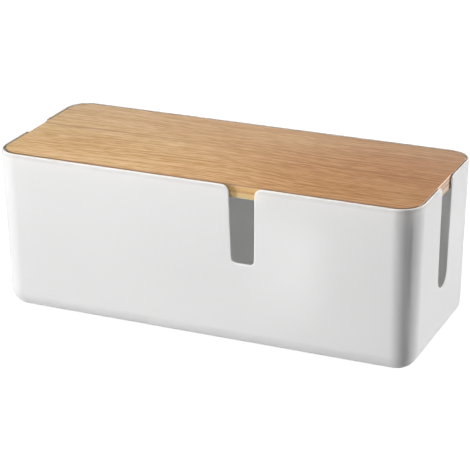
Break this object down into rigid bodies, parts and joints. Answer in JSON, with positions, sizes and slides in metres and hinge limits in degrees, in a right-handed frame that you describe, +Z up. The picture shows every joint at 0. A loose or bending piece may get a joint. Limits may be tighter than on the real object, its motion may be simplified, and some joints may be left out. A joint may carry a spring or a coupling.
{
  "type": "cable management box",
  "caption": "Long plastic box with cable slots in its front and ends and a laminated wooden lid that lies inside the rim and lifts off.",
  "frame": {"origin": "on the surface that the feet stand on, under the middle of the box", "axes": "+X along the box, towards the end on the right seen from the front; +Y from the front to the back; +Z up, towards the lid"},
  "size_m": [0.4, 0.161, 0.152],
  "materials": {
    "shell_plastic": "satin moulded white plastic",
    "face_veneer": "satin varnish, grain along the length",
    "long_grain_ply": "sanded ply edge, grain along the length",
    "cross_grain_ply": "sanded ply edge, grain across the width",
    "backing_veneer": "plain pale veneer",
    "bumper_silicone": "soft grey silicone",
    "foot_rubber": "dark rubber"
  },
  "bodies": {
    "box": {"box_shell": "shell_plastic", "bumper_front_left": "bumper_silicone", "bumper_front_right": "bumper_silicone", "bumper_rear_left": "bumper_silicone", "bumper_rear_right": "bumper_silicone", "foot_front_left": "foot_rubber", "foot_front_right": "foot_rubber", "foot_rear_left": "foot_rubber", "foot_rear_right": "foot_rubber"},
    "lid": {"lid_backing_veneer": "backing_veneer", "lid_ply_1": "long_grain_ply", "lid_ply_2": "cross_grain_ply", "lid_ply_3": "long_grain_ply", "lid_ply_4": "cross_grain_ply", "lid_ply_5": "long_grain_ply", "lid_face_veneer": "face_veneer"}
  },
  "joints": [
    {"name": "lid_lift", "type": "slide", "parent": "box", "child": "lid", "axis": [0, 0, 1], "range_m": [0, 0.14]}
  ]
}
